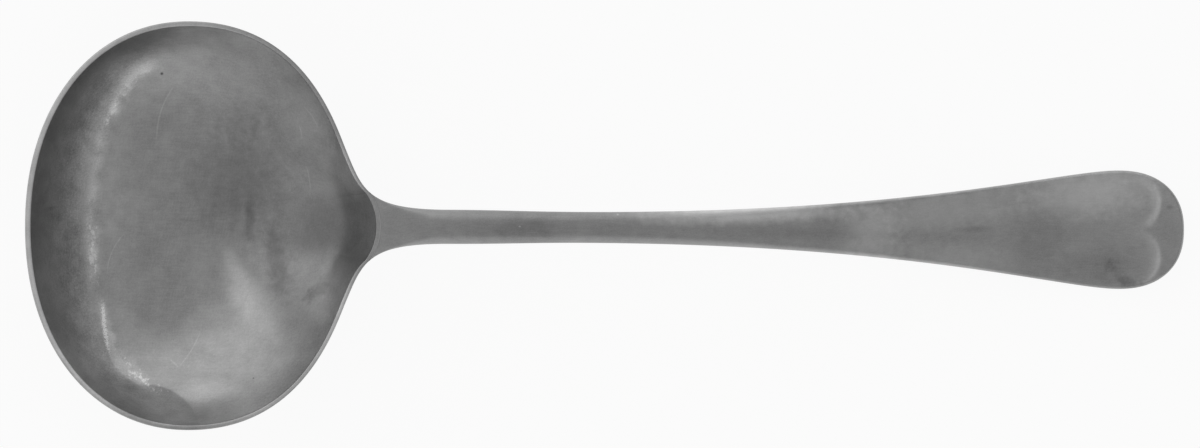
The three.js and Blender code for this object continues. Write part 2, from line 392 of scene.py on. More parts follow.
def bezier(start, start_handle, end_handle, end, steps=curve_samples):
    """Points of a cubic curve, without its last."""
    share = np.linspace(0.0, 1.0, steps, endpoint=False)[:, None]
    rest = 1.0 - share
    inner = 3 * rest**2 * share * np.array(start_handle) + 3 * rest * share**2 * np.array(end_handle)
    return rest**3 * np.array(start) + inner + share**3 * np.array(end)


def shoulder_curve(steps):
    run_out = (shoulder_x - shoulder_run_out, shoulder_half_width + shoulder_slope * shoulder_run_out)
    return bezier(
        (0.0, bowl_half_width),
        (shoulder_fullness, bowl_half_width),
        run_out,
        (shoulder_x, shoulder_half_width),
        steps,
    )


def neck_curve():
    run_on = (shoulder_x + neck_pull, shoulder_half_width - shoulder_slope * neck_pull)
    return bezier(
        (shoulder_x, shoulder_half_width),
        run_on,
        (stem_x - stem_pull, stem_half_width),
        (stem_x, stem_half_width),
    )


neck_points = neck_curve()
bowl_neck_points = neck_points[neck_points[:, 1] > saddle_half_width]
corner_x, corner_y = bowl_neck_points[-1]
saddle_bulge = bowl_back - corner_x
saddle_radius = (corner_y**2 + saddle_bulge**2) / (2 * saddle_bulge)


def bowl_edge():
    """The bowl's edge as a loop, counter-clockwise from above, starting at the middle of the crease."""
    turn = np.linspace(0.0, math.pi / 2, front_steps, endpoint=False)
    front_x = -bowl_front * np.cos(turn) ** (2 / front_roundness)
    front_y = bowl_half_width * np.sin(turn) ** (2 / front_roundness)
    neck = bowl_neck_points[:: len(bowl_neck_points) // neck_edge_steps]
    saddle_turn = np.linspace(math.asin(corner_y / saddle_radius), 0.0, saddle_steps + 1)
    saddle_x = bowl_back - saddle_radius * (1 - np.cos(saddle_turn))
    saddle_y = saddle_radius * np.sin(saddle_turn)
    half = np.vstack(
        (
            np.column_stack((front_x, front_y)),
            shoulder_curve(shoulder_steps),
            neck,
            np.column_stack((saddle_x, saddle_y)),
        )
    )
    other = half[-2:0:-1] * (1, -1)
    return np.vstack((half, other))[::-1]


edge_points = bowl_edge()
edge_angles = np.arctan2(edge_points[:, 1], edge_points[:, 0])
edge_lengths = np.hypot(edge_points[:, 0], edge_points[:, 1])
edge_order = np.argsort(edge_angles)


def bowl_loft():
    """Tree that lofts a closed shell with a rounded lip from the outline of the bowl's edge."""
    tree = bpy.data.node_groups.new("bowl_loft", "GeometryNodeTree")
    tree.interface.new_socket("Edge", in_out="INPUT", socket_type="NodeSocketGeometry")
    for name in bowl_sizes:
        tree.interface.new_socket(name, in_out="INPUT", socket_type="NodeSocketFloat")
    tree.interface.new_socket("Metal", in_out="INPUT", socket_type="NodeSocketMaterial")
    tree.interface.new_socket("Bowl", in_out="OUTPUT", socket_type="NodeSocketGeometry")
    given = tree.nodes.new("NodeGroupInput")
    size = {name: Field(given.outputs[name]) for name in bowl_sizes}

    # A sheet with a row for each place on the edge and a column for each step across the wall
    columns = 2 * flat_steps + 2 * wall_steps + lip_steps
    edge_size = add_node(tree, "GeometryNodeAttributeDomainSize", {"Geometry": given.outputs["Edge"]})
    rows = Field(edge_size.outputs["Point Count"])
    sheet = add_node(
        tree,
        "GeometryNodeMeshGrid",
        {"Size X": 1.0, "Size Y": 1.0, "Vertices X": rows + 1.0, "Vertices Y": columns + 1},
    )
    sheet_place = add_node(tree, "GeometryNodeInputPosition")
    sheet_axes = add_node(tree, "ShaderNodeSeparateXYZ", {"Vector": sheet_place.outputs[0]})
    row = calculate("FLOOR", (Field(sheet_axes.outputs["X"]) + 0.5) * rows + 0.5)
    column = (Field(sheet_axes.outputs["Y"]) + 0.5) * float(columns)

    edge = add_node(
        tree,
        "GeometryNodeSampleIndex",
        {
            "Geometry": given.outputs["Edge"],
            "Value": add_node(tree, "GeometryNodeInputPosition").outputs[0],
            "Index": calculate("MODULO", row, rows),
        },
        data_type="FLOAT_VECTOR",
        domain="POINT",
    )
    edge_axes = add_node(tree, "ShaderNodeSeparateXYZ", {"Vector": edge.outputs["Value"]})
    edge_x = Field(edge_axes.outputs["X"])
    edge_y = Field(edge_axes.outputs["Y"])
    edge_length = square_root(edge_x * edge_x + edge_y * edge_y)

    def stretch(start, steps):
        return smaller(larger((column - start) / steps, 0.0), 1.0)

    wall_start = float(flat_steps)
    lip_start = wall_start + wall_steps
    inside_start = lip_start + lip_steps
    floor_start = inside_start + wall_steps
    lip_turn = stretch(lip_start, lip_steps)
    up_outside = 1.0 - (1.0 - stretch(wall_start, wall_steps)) ** lip_closeness
    up_inside = 1.0 - stretch(inside_start, wall_steps) ** lip_closeness
    outer_reach, outer_height, _ = wall_spot(edge_x, edge_y, up_outside, bowl_face(False, size), size)
    inner_reach, inner_height, beyond_fold = wall_spot(edge_x, edge_y, up_inside, bowl_face(True, size), size)
    inside = (1.0 - calculate("COSINE", lip_turn * math.pi)) / 2.0
    on_lip = calculate("SINE", lip_turn * math.pi)
    outer_reach = outer_reach * stretch(0.0, flat_steps)
    inner_reach = inner_reach * (1.0 - stretch(floor_start, flat_steps))
    reach = mix(outer_reach, inner_reach, inside) / edge_length
    height = mix(mix(outer_height, inner_height, inside), size["Rim Height"], on_lip)

    # The marks are stored on the flat sheet, as its rows and columns are read from it
    geometry = sheet.outputs["Mesh"]
    marks = {
        "fold": beyond_fold / MM * inside,
        "inside": inside,
        "lip": on_lip,
    }
    for name, value in marks.items():
        stored = add_node(
            tree,
            "GeometryNodeStoreNamedAttribute",
            {"Geometry": geometry, "Name": name, "Value": value},
            data_type="FLOAT",
            domain="POINT",
        )
        geometry = stored.outputs[0]
    place = add_node(tree, "ShaderNodeCombineXYZ", {"X": edge_x * reach, "Y": edge_y * reach, "Z": height})
    shaped = add_node(tree, "GeometryNodeSetPosition", {"Geometry": geometry, "Position": place.outputs[0]})
    return finish_loft(tree, given, shaped.outputs[0])


def finish_loft(tree, given, geometry):
    merged = add_node(tree, "GeometryNodeMergeByDistance", {"Geometry": geometry, "Distance": TINY})
    smooth = add_node(tree, "GeometryNodeSetShadeSmooth", {"Geometry": merged.outputs[0]})
    real = add_node(tree, "GeometryNodeRealizeInstances", {"Geometry": smooth.outputs[0]})
    covered = add_node(
        tree,
        "GeometryNodeSetMaterial",
        {"Geometry": real.outputs[0], "Material": given.outputs["Metal"]},
    )
    result = tree.nodes.new("NodeGroupOutput")
    feed(result.inputs[0], covered.outputs[0])
    return tree


def new_piece(name, mesh):
    piece = bpy.data.objects.new(name, mesh)
    bpy.context.scene.collection.objects.link(piece)
    return piece


def make_bowl(metal):
    count = len(edge_points)
    corners = [(x, y, 0.0) for x, y in edge_points]
    outline = bpy.data.meshes.new("bowl_edge")
    outline.from_pydata(corners, [(i, (i + 1) % count) for i in range(count)], [])
    bowl = new_piece("steel_bowl", outline)
    tree = bowl_loft()
    modifier = bowl.modifiers.new("loft", "NODES")
    modifier.node_group = tree
    values = {**bowl_sizes, "Metal": metal}
    for item in tree.interface.items_tree:
        if item.in_out == "INPUT" and item.name in values:
            modifier[item.identifier] = values[item.name]
    evaluated = bowl.evaluated_get(bpy.context.evaluated_depsgraph_get())
    shell = bpy.data.meshes.new_from_object(evaluated)
    bowl.modifiers.clear()
    bowl.data = shell
    return bowl


def wall_height(x, y):
    """Height of the bowl's outer wall over a place, carried on upwards past the edge."""
    angle = np.arctan2(y, x)
    length = np.interp(angle, edge_angles[edge_order], edge_lengths[edge_order])
    share = np.linspace(0.0, 2.0, curve_samples)
    face = bowl_face(False, bowl_sizes)
    heights = np.empty_like(angle)
    for i in range(len(angle)):
        edge_x = length[i] * math.cos(angle[i])
        edge_y = length[i] * math.sin(angle[i])
        reach, height, _ = wall_spot(edge_x, edge_y, share, face, bowl_sizes)
        heights[i] = np.interp(math.hypot(x[i], y[i]), reach, height)
    return heights


def saddle_height(x, y, gap=solder_gap):
    """Height of a face under the bowl's wall, a solder's gap away from it."""
    nudge = 0.02 * MM
    here = wall_height(x, y)
    slope = (wall_height(x + nudge, y) - here) / nudge
    return here - gap * np.hypot(1.0, slope)


def level_gap():
    """Width of the solder's gap at the crease, seen from above."""
    nudge = 0.1 * MM
    heights = wall_height(np.array((bowl_back - nudge, bowl_back)), np.zeros(2))
    slope = (heights[1] - heights[0]) / nudge
    return solder_gap * math.hypot(1.0, slope) / slope


crease_edge_x = bowl_back + level_gap()


def superellipse(turn, length, half_width, roundness):
    along = length * np.sin(turn) ** (2 / roundness)
    across = half_width * np.cos(turn) ** (2 / roundness)
    return along, across


def handle_outline():
    """Places along the handle and its half width there, from the heel to the tip."""
    turn = np.linspace(0.0, math.pi / 2, curve_samples)
    heel_along, heel_across = superellipse(turn[::-1], heel_length, corner_y, heel_roundness)
    end_along, end_across = superellipse(turn, end_length, end_half_width, end_roundness)
    stem = bezier(
        (stem_x, stem_half_width),
        (stem_x + waist_pull, stem_half_width),
        (waist_x - waist_pull, waist_half_width),
        (waist_x, waist_half_width),
    )
    flare = bezier(
        (waist_x, waist_half_width),
        (waist_x + flare_start_pull, waist_half_width),
        (end_x - flare_end_pull, end_half_width),
        (end_x, end_half_width),
    )
    neck = neck_points[len(bowl_neck_points):]
    along = (corner_x - heel_along, neck[:, 0], stem[:, 0], flare[:, 0], end_x + end_along)
    across = (heel_across, neck[:, 1], stem[:, 1], flare[:, 1], end_across)
    return np.concatenate(along), np.concatenate(across)


def handle_stations():
    """Places along the handle that get a section, closer together where its form turns fast."""
    heel_turn = np.linspace(0.0, math.pi / 2, heel_steps)[1:-1]
    heel_along, _ = superellipse(heel_turn[::-1], heel_length, corner_y, heel_roundness)
    end_turn = np.linspace(0.0, math.pi / 2, end_steps)[:-1]
    end_along, _ = superellipse(end_turn, end_length, end_half_width, end_roundness)
    return np.concatenate(
        (
            corner_x - heel_along,
            np.linspace(corner_x, crease_edge_x, seat_steps, endpoint=False),
            np.linspace(crease_edge_x, crease_edge_x + crease_bevel, bevel_steps, endpoint=False),
            np.linspace(crease_edge_x + crease_bevel, stem_x, neck_steps, endpoint=False),
            np.linspace(stem_x, waist_x, stem_steps, endpoint=False),
            np.linspace(waist_x, end_x, flare_steps, endpoint=False),
            end_x + end_along,
        )
    )


def bent_to_crease(stations, side, half_width):
    """A grid over the handle whose sections bow with the crease near it: places along and across."""
    before = smooth_step(stations, corner_x - heel_length, crease_edge_x)
    after = 1.0 - smooth_step(stations, crease_edge_x, stem_x)
    bend = np.where(stations < crease_edge_x, before, after)[:, None]
    x = np.repeat(stations[:, None], len(side), axis=1)
    arc_radius = saddle_radius + crease_edge_x - bowl_back
    for _ in range(bend_rounds):
        y = half_width(x) * side
        aside = np.minimum(np.abs(y), corner_y)
        x = stations[:, None] + bend * (np.sqrt(arc_radius**2 - aside**2) - arc_radius)
    return x, half_width(x) * side


def stem_underside(x):
    crease = rim_height - neck_thickness
    top = crease + arch_rise
    arch = bezier(
        (bowl_back, crease),
        (bowl_back + arch_start_pull, crease + arch_slope * arch_start_pull),
        (arch_x - arch_pull, top),
        (arch_x, top),
    )
    descent = bezier((arch_x, top), (arch_x + descent_pull, top), (rest_x - rest_pull, 0.0), (rest_x, 0.0))
    profile = np.vstack((arch, descent, [(rest_x, 0.0)]))
    on_curve = np.interp(x, profile[:, 0], profile[:, 1])
    before = crease + arch_slope * (x - bowl_back)
    after = tip_lift * ((x - rest_x) / (tip_x - rest_x)) ** 2
    return np.where(x < bowl_back, before, np.where(x > rest_x, after, on_curve))


def handle_underside(x):
    heel_x = np.linspace(corner_x - heel_length, waist_x, curve_samples)
    lap = mix(heel_tip_thickness, heel_thickness, smooth_step(heel_x, corner_x - heel_length, corner_x))
    heel = wall_height(heel_x, np.zeros_like(heel_x)) - lap
    lapped = smooth_smaller(stem_underside(heel_x), heel, heel_fillet)
    return np.where(x > waist_x, stem_underside(x), np.interp(x, heel_x, lapped))


def handle_top(x):
    behind_neck = mix(neck_thickness, stem_thickness, smooth_step(x, bowl_back, waist_x))
    thickness = mix(behind_neck, end_thickness, smooth_step(x, waist_x, end_x))
    return np.where(x > bowl_back, stem_underside(x) + thickness, rim_height)


def lobe_distance(x, y):
    return np.hypot(x - lobe_x, np.abs(y) - lobe_spread) - lobe_radius


def relief(x, y):
    """Height of the tip over the two lobes, which it meets along the line of a brace."""
    step = smooth_step(lobe_distance(x, y), -relief_softness, relief_softness)
    return relief_height * step * smooth_step(x - lobe_x, 0.0, lobe_radius / 2)


def distance_inside(x, y, half):
    """Distance from a place on the handle to its outline: sideways, or towards the round ends there."""
    beside = half - np.abs(y)

    def to_round(along, length, half_width, roundness):
        size = np.maximum((np.abs(along) / length) ** roundness + (np.abs(y) / half_width) ** roundness, TINY)
        return np.hypot(along, y) * np.maximum(size ** (-1 / roundness) - 1, 0.0)

    at_end = to_round(x - end_x, end_length, end_half_width, end_roundness)
    at_heel = to_round(corner_x - x, heel_length, corner_y, heel_roundness)
    return np.where(x > end_x, at_end, np.where(x < corner_x, at_heel, beside))


def quarter_round(distance, radius):
    rest = 1 - np.clip(distance / radius, 0.0, 1.0)
    return np.sqrt(1 - rest**edge_round_power)


def make_handle(metal):
    stations = handle_stations()
    outline_x, outline_half = handle_outline()
    spread = np.linspace(-1.0, 1.0, section_steps + 1)
    side = np.sign(spread) * (1 - (1 - np.abs(spread)) ** section_closeness)
    x, y = bent_to_crease(stations, side, lambda along: np.interp(along, outline_x, outline_half))
    half = np.interp(x, outline_x, outline_half)

    flared = smooth_step(x, waist_x, end_x)
    crowned = smooth_step(x, bowl_back, stem_x)
    rounded = smooth_step(x, corner_x, stem_x)
    crown = crowned * mix(stem_crown, end_crown, flared)
    back_round = mix(mix(heel_back_round, stem_back_round, crowned), end_back_round, flared)
    edge_radius = mix(stem_edge_radius, end_edge_radius, flared)
    inside = distance_inside(x, y, half)

    under = handle_underside(x) + back_round * np.abs(side) ** back_round_power
    top = handle_top(x) - crown * np.abs(side) ** crown_power + relief(x, y)
    bevel = 1.0 - smooth_step(stations, crease_edge_x, crease_edge_x + crease_bevel)
    top = top - crease_bevel / 3 * bevel[:, None] ** 2
    seated = np.repeat((stations < crease_edge_x)[:, None], len(side), axis=1)
    top[seated] = np.minimum(top[seated], saddle_height(x[seated], y[seated]))

    edge = mix(top[:, :1], (top[:, :1] + under[:, :1]) / 2, rounded)
    over = edge + (top - edge) * quarter_round(inside, mix(TINY, edge_radius, rounded))
    below = edge - (edge - under) * quarter_round(inside, edge_radius)

    upper = np.stack((x, y, over), axis=-1)
    lower = np.stack((x, y, below), axis=-1)
    wear = np.exp(-inside / edge_wear_width)
    past_lobe = lobe_distance(x, y)
    fade = np.where(past_lobe < 0.0, brace_fade_on_lobe, brace_fade_on_tip)
    brace = np.exp(-((past_lobe / fade) ** 2)) * smooth_step(x, lobe_x, lobe_x + lobe_radius)
    return skinned_piece("steel_handle", upper, lower, {"edge": wear, "brace": brace}, metal)


def skinned_piece(name, upper, lower, marks, metal):
    """A closed skin over rows of points across its upper and lower side, which meet along both edges."""
    rows, columns, _ = upper.shape
    rings = np.concatenate((upper, lower[:, -2:0:-1]), axis=1)
    count = rings.shape[1]
    faces = []
    for row in range(rows - 1):
        here = row * count
        ahead = here + count
        for i in range(count):
            j = (i + 1) % count
            faces.append((here + i, ahead + i, ahead + j, here + j))
    for column in range(columns - 1):
        corners = (column, column + 1, (count - column - 1) % count, (count - column) % count)
        cap = tuple(dict.fromkeys(corners))
        faces.append(cap)
        last = (rows - 1) * count
        faces.append(tuple(last + corner for corner in reversed(cap)))
    mesh = bpy.data.meshes.new(name)
    mesh.from_pydata(rings.reshape(-1, 3).tolist(), [], faces)
    for mark, values in marks.items():
        attribute = mesh.attributes.new(mark, "FLOAT", "POINT")
        attribute.data.foreach_set("value", np.concatenate((values, values[:, -2:0:-1]), axis=1).ravel())
    mesh.shade_smooth()
    mesh.materials.append(metal)
    return new_piece(name, mesh)


def make_solder(metal):
    """The solder between bowl and heel: flush in the crease, with a small fillet round the heel's edge."""
    heel_x = corner_x - heel_length
    outline_x, outline_half = handle_outline()
    round_x = heel_x - solder_fillet
    turn = np.linspace(0.0, math.pi / 2, heel_steps)[1:-1]
    round_along, _ = superellipse(turn[::-1], heel_length + solder_fillet, corner_y, heel_roundness)
    stations = np.concatenate((corner_x - round_along, np.linspace(corner_x, crease_edge_x, seat_steps)))
    grown_x, grown_across = superellipse(
        np.linspace(0.0, math.pi / 2, curve_samples)[::-1], heel_length + solder_fillet, 1.0, heel_roundness
    )

    def half_width(x):
        fillet = solder_fillet * (1.0 - smooth_step(x, heel_x + heel_length / 2, corner_x))
        on_heel = np.interp(x, corner_x - grown_x, grown_across) * (corner_y + fillet)
        return np.where(x < corner_x, on_heel, np.interp(x, outline_x, outline_half))

    side = np.sin(np.linspace(-math.pi / 2, math.pi / 2, section_steps + 1))
    x, y = bent_to_crease(stations, side, half_width)
    beside = half_width(x) - np.abs(y)
    ahead = x - round_x
    from_edge = np.clip(np.minimum(beside, ahead) / solder_fillet, 0.0, 1.0)
    at_crease = smooth_step(stations, crease_edge_x - 4 * solder_fillet, crease_edge_x)[:, None]
    thickness = mix(np.maximum(solder_fillet * from_edge**2, solder_edge), solder_gap, at_crease)
    wall = np.minimum(wall_height(x.ravel(), y.ravel()).reshape(x.shape), rim_height)
    film = saddle_height(x.ravel(), y.ravel(), thickness.ravel()).reshape(x.shape)
    lower = np.minimum(film, rim_height - solder_edge)
    upper_side = np.stack((x, y, wall), axis=-1)
    lower_side = np.stack((x, y, lower), axis=-1)
    return skinned_piece("solder_line", upper_side, lower_side, {}, metal)


# Shader node groups: each reads a place in millimetres and named values, and gives one value over the surface
def new_group(name, value_names, result_name):
    tree = bpy.data.node_groups.new(name, "ShaderNodeTree")
    tree.interface.new_socket("Place", in_out="INPUT", socket_type="NodeSocketVector")
    for value_name in value_names:
        tree.interface.new_socket(value_name, in_out="INPUT", socket_type="NodeSocketFloat")
    tree.interface.new_socket(result_name, in_out="OUTPUT", socket_type="NodeSocketFloat")
    given = tree.nodes.new("NodeGroupInput")
    axes = add_node(tree, "ShaderNodeSeparateXYZ", {"Vector": given.outputs["Place"]})
    return tree, [Field(axes.outputs[axis]) for axis in "XYZ"], [Field(given.outputs[n]) for n in value_names]


def finish_group(tree, value):
    result = tree.nodes.new("NodeGroupOutput")
    feed(result.inputs[0], value)
    return tree


def noise(x, y, z, detail):
    tree = x.tree
    spot = add_node(tree, "ShaderNodeCombineXYZ", {"X": x, "Y": y, "Z": z})
    clouds = add_node(tree, "ShaderNodeTexNoise", {"Vector": spot.outputs[0], "Scale": 1.0, "Detail": detail})
    return Field(clouds.outputs[0])


def turned(x, y, turn):
    cosine = calculate("COSINE", turn)
    sine = calculate("SINE", turn)
    return x * cosine + y * sine, y * cosine - x * sine


# Patterns of the effects
noise_middle = 0.5
hairline_breaks = 2.0
hairline_kinship = 0.4
hairline_gaps = (0.52, 0.64)
elsewhere = 50.0
torn_fineness = 0.9
patch_fade = (0.1, 1.0)
scratch_taper = 0.2
fleck_stretch = 1.8
fleck_wave = 0.8
fleck_wave_along = 1.4
fleck_sway = 2.2
fleck_sway_along = 1.6
fleck_edge = (-0.15, 0.45)
fleck_start = 0.4


def make_brushed_grain():
    """Fine streaks left by rubbing: a noise drawn out along one direction."""
    tree, (x, y, z), (turn, length, width) = new_group("brushed_grain", ("Turn", "Length", "Width"), "Grain")
    along, across = turned(x, y, turn)
    return finish_group(tree, noise(along / length, across / width, z / width, detail=2.0))


def make_tarnish():
    """Soft clouds of duller metal."""
    tree, (x, y, z), (size,) = new_group("tarnish", ("Size",), "Cloud")
    return finish_group(tree, noise(x / size, y / size, z / size, detail=4.0))


def make_hairlines():
    """Long fine scratches, broken off here and there."""
    names = ("Turn", "Length", "Spacing", "Fineness")
    tree, (x, y, z), (turn, length, spacing, fineness) = new_group("hairlines", names, "Hairline")
    along, across = turned(x, y, turn)
    along = along / length
    across = across / spacing
    up = z / spacing
    level = noise(along, across, up, detail=0.0)
    line = 1.0 - smooth_step(absolute(level - noise_middle), 0.0, fineness)
    stretches = noise(along * hairline_breaks, across * hairline_kinship, up + elsewhere, detail=1.0)
    return finish_group(tree, line * smooth_step(stretches, *hairline_gaps))


def make_soft_patch():
    """An oval patch with a soft, slightly torn outline, used for stains and pits, and for painted shade and
    painted light.
    """
    names = ("Centre X", "Centre Y", "Half Length", "Half Width", "Turn", "Torn")
    tree, (x, y, z), values = new_group("soft_patch", names, "Patch")
    centre_x, centre_y, half_length, half_width, turn, torn = values
    along, across = turned(x - centre_x, y - centre_y, turn)
    along = along / half_length
    across = across / half_width
    tears = noise(x * torn_fineness, y * torn_fineness, z * torn_fineness, detail=4.0)
    distance = square_root(along * along + across * across) + (tears - noise_middle) * torn
    return finish_group(tree, 1.0 - smooth_step(distance, *patch_fade))


def make_scratch():
    """One fine scratch between two places, bowed to the left of its way by the bulge."""
    names = ("From X", "From Y", "To X", "To Y", "Bulge", "Width")
    tree, (x, y, _), values = new_group("scratch", names, "Scratch")
    from_x, from_y, to_x, to_y, bulge, width = values
    run_x = to_x - from_x
    run_y = to_y - from_y
    length = square_root(run_x * run_x + run_y * run_y)
    share = ((x - from_x) * run_x + (y - from_y) * run_y) / (length * length)
    aside = ((y - from_y) * run_x - (x - from_x) * run_y) / length
    bow = bulge * 4.0 * share * (1.0 - share)
    line = 1.0 - smooth_step(absolute(aside - bow), 0.0, width)
    ends = smooth_step(share, 0.0, scratch_taper) * (1.0 - smooth_step(share, 1.0 - scratch_taper, 1.0))
    return finish_group(tree, line * ends)


def make_worn_speckle():
    """Bright flecks where metal is rubbed, larger and closer the more it is."""
    tree, (x, y, z), (rubbed, size) = new_group("worn_speckle", ("Rubbed", "Size"), "Wear")
    across = x / size
    along = y / (size * fleck_stretch)
    up = z / size
    sway = noise(across * fleck_wave, along * fleck_wave_along, up * fleck_wave, detail=2.0) - noise_middle
    spot_axes = {"X": across + sway * fleck_sway, "Y": along - sway * fleck_sway_along, "Z": up}
    spot = add_node(tree, "ShaderNodeCombineXYZ", spot_axes)
    cells = add_node(tree, "ShaderNodeTexVoronoi", {"Vector": spot.outputs[0], "Scale": 1.0})
    draw = Field(add_node(tree, "ShaderNodeSeparateXYZ", {"Vector": cells.outputs["Color"]}).outputs["X"])
    flecks = smooth_step(rubbed * draw - Field(cells.outputs["Distance"]), *fleck_edge)
    return finish_group(tree, flecks * draw * smooth_step(rubbed, 0.0, fleck_start))


def added(*effects):
    """The sum of effects, each given with its strength."""
    total = 0.0
    for effect, strength in effects:
        total = total + effect * strength
    return total


def swayed(*textures):
    """The sum of textures, each counted from its middle and given with its strength."""
    return added(*((texture - noise_middle, strength) for texture, strength in textures))


# Limits of every finish
darkest_tone = 0.03
lightest_tone = 0.95
finish_depth = 0.01 * MM


class Steel:
    """A steel material in the making: places on its surface in millimetres, and the shared effects."""

    effects = {}

    def __init__(self, name):
        self.material = bpy.data.materials.new(name)
        self.material.use_nodes = True
        self.tree = self.material.node_tree
        self.tree.nodes.clear()
        spot = add_node(self.tree, "ShaderNodeTexCoord").outputs["Object"]
        in_mm = add_node(self.tree, "ShaderNodeVectorMath", {0: spot, "Scale": 1.0 / MM}, operation="SCALE")
        self.place = in_mm.outputs[0]
        axes = add_node(self.tree, "ShaderNodeSeparateXYZ", {"Vector": self.place})
        self.x, self.y, self.z = (Field(axes.outputs[axis]) for axis in "XYZ")

    def effect(self, group, **values):
        node = add_node(self.tree, "ShaderNodeGroup", node_tree=Steel.effects[group])
        feed(node.inputs["Place"], self.place)
        for name, value in values.items():
            feed(node.inputs[name.replace("_", " ")], value)
        return Field(node.outputs[0])

    def mark(self, name):
        return Field(add_node(self.tree, "ShaderNodeAttribute", attribute_name=name).outputs["Fac"])

    def patches(self, rows):
        """The sum of soft patches, each given as its centre, half sizes, turn, torn outline and strength."""
        total = 0.0
        for centre_x, centre_y, half_length, half_width, degrees, torn, strength in rows:
            patch = self.effect(
                "soft_patch",
                Centre_X=centre_x,
                Centre_Y=centre_y,
                Half_Length=half_length,
                Half_Width=half_width,
                Turn=math.radians(degrees),
                Torn=torn,
            )
            total = total + patch * strength
        return total

    def scratches(self, rows):
        """The sum of single scratches, each given as its two ends, bulge and width."""
        total = 0.0
        for from_x, from_y, to_x, to_y, bulge, width in rows:
            total = total + self.effect(
                "scratch", From_X=from_x, From_Y=from_y, To_X=to_x, To_Y=to_y, Bulge=bulge, Width=width
            )
        return total

    def finish(self, tone, roughness, height):
        dents = {"Height": height, "Distance": finish_depth, "Strength": 1.0}
        bump = add_node(self.tree, "ShaderNodeBump", dents)
        surface = add_node(
            self.tree,
            "ShaderNodeBsdfPrincipled",
            {
                "Base Color": smaller(larger(tone, darkest_tone), lightest_tone),
                "Metallic": 1.0,
                "Roughness": roughness,
                "Normal": bump.outputs[0],
            },
        )
        output = add_node(self.tree, "ShaderNodeOutputMaterial", {"Surface": surface.outputs[0]})
        output.is_active_output = True
        return self.material


# Stains with painted shade, painted light, and pits in the bowl: centre x and y, half length and width, turn,
# torn outline, strength
bowl_stains_and_shade = (
    (8.6, 1.3, 5.0, 1.1, 90, 0.5, 0.20),
    (12.6, -5.0, 7.0, 2.6, 95, 0.6, 0.28),
    (6.5, 6.4, 13.0, 11.0, 60, 0.4, 0.27),
    (7.6, 16.0, 7.0, 5.0, 0, 0.6, 0.14),
    (13.5, -8.0, 4.5, 3.0, 90, 0.6, 0.14),
    (13.8, -23.5, 7.5, 3.5, 38, 0.5, 0.25),
    (18.6, -9.4, 3.2, 1.4, 50, 2.0, 0.40),
    (-20.3, 2.5, 1.6, 0.4, 15, 1.0, 0.20),
)
# Patches of painted light on the bowl's floor, walls and shoulders
bowl_painted_light = (
    (8.5, -19.2, 13.0, 9.0, -25, 0.5, 0.32),
    (-5.0, -19.0, 11.0, 6.0, 5, 0.5, 0.22),
    (2.2, -24.2, 6.5, 2.6, 6, 0.4, 0.42),
    (6.2, -5.6, 5.0, 1.7, -58, 0.4, 0.25),
    (7.2, -8.8, 6.0, 3.6, -65, 0.4, 0.40),
    (9.5, -12.5, 7.0, 4.5, -55, 0.4, 0.28),
    (-5.5, -27.0, 9.0, 3.0, -18, 0.3, 0.85),
    (17.0, 15.5, 8.0, 5.0, -55, 0.5, 0.35),
    (22.6, 8.5, 6.8, 4.3, -62, 0.3, 1.05),
    (21.2, -9.2, 7.0, 4.5, 62, 0.3, 0.8),
    (-15.0, -22.5, 11.0, 6.0, -48, 0.3, 1.2),
    (-20.8, -11.0, 11.0, 2.6, 100, 0.3, 0.35),
    (-12.9, 21.9, 8.0, 2.2, 45, 0.3, 0.45),
)
bowl_pits = (
    (-4.3, 22.3, 0.34, 0.32, 0, 0.2, 1.0),
    (-14.1, 13.8, 0.30, 0.28, 0, 0.3, 0.4),
    (9.4, -22.3, 0.2, 0.2, 0, 0.3, 0.5),
)
# Stretches of the fold: rubbed bright evenly with a painted highlight over it, in worn speckles, and a
# painted glint
fold_sheen = (
    (-10.3, 17.2, 12.5, 5.0, 60, 0.3, 1.9),
    (-14.3, 0.0, 15.0, 3.5, 90, 0.5, 1.4),
    (-12.3, -14.0, 6.0, 3.0, 102, 0.3, 1.0),
    (-9.5, -20.0, 8.0, 4.0, -48, 0.4, 0.7),
)
fold_speckles = (
    (-14.0, -4.0, 8.0, 3.5, 92, 0.4, 1.2),
    (-7.0, -22.0, 8.0, 3.5, -40, 0.4, 0.95),
    (-10.5, 17.0, 10.0, 4.0, 62, 0.4, 0.65),
)
fold_glint = ((-12.3, -15.0, 4.8, 2.5, 102, 0.2, 1.0),)
# Stretches of the wall with painted shade close to the rubbed fold
fold_shadow = (
    (-16.2, -7.0, 14.0, 6.0, 97, 0.3, 0.34),
    (-11.4, 20.6, 5.5, 3.5, 48, 0.3, 0.3),
)
# Single scratches in the bowl: from x and y, to x and y, bulge, width
bowl_scratches = (
    (-5.1, 11.8, -2.2, 20.9, 0.95, 0.16),
    (-9.6, -0.9, -12.4, -7.4, -0.7, 0.14),
    (16.4, 17.7, 18.8, 14.3, 0.3, 0.12),
    (1.6, -15.0, -1.9, -21.0, 0.4, 0.14),
    (-3.1, -19.5, -1.6, -20.9, 0.0, 0.2),
    (17.0, 8.8, 17.6, 5.0, 0.1, 0.12),
    (15.9, 14.9, 16.4, 12.6, 0.1, 0.14),
)


# Line along the foot of the bowl's front wall, rubbed by stirring, along which painted highlights and painted
# shade also run, in millimetres from the bowl's middle
foot_front = 14.8
foot_side = 24.6
foot_roundness = 2.3

# Bands along that line, in millimetres: how far outside it they lie, their half widths, sway and flecks;
# sheen and glint are painted highlights, shadow is painted shade, floor edge is painted light
sheen_half_width = 1.0
sheen_sway = 1.5
speckle_half_width = 1.1
speckle_size = 0.4
glint_half_width = 0.35
shadow_offset = 2.2
shadow_half_width = 1.3
floor_edge_offset = -2.5
floor_edge_half_width = 3.5

# How clouds and grain break up the painted highlights along the fold
sheen_least = 0.55
sheen_gain = 0.65
sheen_clouds = (0.35, 0.65)
sheen_grain = 1.1
glint_grain = (0.3, 0.6)

